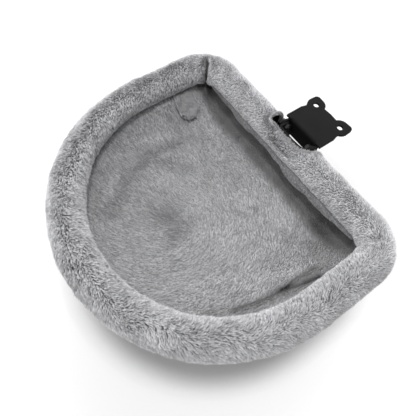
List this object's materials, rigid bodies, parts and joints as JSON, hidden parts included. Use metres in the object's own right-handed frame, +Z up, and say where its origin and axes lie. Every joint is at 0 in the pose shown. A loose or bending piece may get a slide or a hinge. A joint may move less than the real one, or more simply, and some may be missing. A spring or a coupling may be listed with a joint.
{
  "type": "desk cat hammock",
  "caption": "Half-moon plush cat bed on a tube frame, hinged to a screw clamp that grips a desk's edge and folds the bed up against it.",
  "frame": {"origin": "top edge of the desk at the clamp's centre line: the bracket's spine lies against the desk's edge at y = 0 and the top pad's underside lies on the desk at z = 0", "axes": "+X along the desk's edge, +Y into the desk, +Z up; the bed reaches out towards -Y"},
  "size_m": [0.4, 0.3945, 0.1502],
  "materials": {
    "steel": "satin black powder coat",
    "tube": "satin black enamel on drawn steel tube",
    "zinc": "dark zinc plate",
    "black_hardware": "black oxide",
    "rubber": "matte moulded rubber",
    "knob": "fine moulded texture",
    "plush": "long grey plush pile",
    "liner_plush": "short smooth grey plush nap",
    "lining": "dark open sleeve lining",
    "foam": "dark soft foam",
    "wadding": "loose polyester wadding",
    "base": "woven polyester base cloth",
    "tape": "hook-and-loop tape"
  },
  "bodies": {
    "desk_clamp": {"desk_bracket": "steel", "top_pad": "rubber", "pivot_bolts": "black_hardware", "pivot_washers": "black_hardware", "pivot_nuts": "black_hardware", "jaw_arm": "steel", "jaw_screws": "zinc", "jaw_nuts": "zinc", "screw_bush": "zinc"},
    "bed": {"bed_bracket": "steel", "back_bar": "tube", "left_hoop": "tube", "right_hoop": "tube", "front_joiner": "zinc", "frame_rivets": "zinc", "foam_roll": "foam", "rim_cover": "plush", "notch_facing": "lining", "notch_hem": "plush", "base_cloth": "base", "sling_padding": "wadding", "plush_liner": "liner_plush", "side_wall": "plush", "corner_tab": "liner_plush", "closure_tapes": "tape"},
    "thrust": {"thrust_ball": "zinc"},
    "screw": {"clamp_screw": "zinc", "screw_knob": "knob"},
    "foot": {"pressure_foot": "zinc", "foot_pad": "rubber"}
  },
  "joints": [
    {"name": "bed_fold", "type": "hinge", "parent": "desk_clamp", "child": "bed", "pos_m": [0, -0.01, -0.0045], "axis": [-1, 0, 0], "range_deg": [0, 80]},
    {"name": "screw_rise", "type": "slide", "parent": "desk_clamp", "child": "thrust", "axis": [0, 0, 1], "range_m": [-0.018, 0.03]},
    {"name": "screw_spin", "type": "hinge", "parent": "thrust", "child": "screw", "pos_m": [0, 0.033, -0.1], "axis": [0, 0, 1], "range_deg": [-3240, 5400]},
    {"name": "foot_tilt", "type": "hinge", "parent": "thrust", "child": "foot", "pos_m": [0, 0.033, -0.0474], "axis": [1, 0, 0], "range_deg": [-8, 8]}
  ],
  "couplings": [
    {"joint": "screw_spin", "follows": "screw_rise", "rad_per_m": 3141.6}
  ]
}
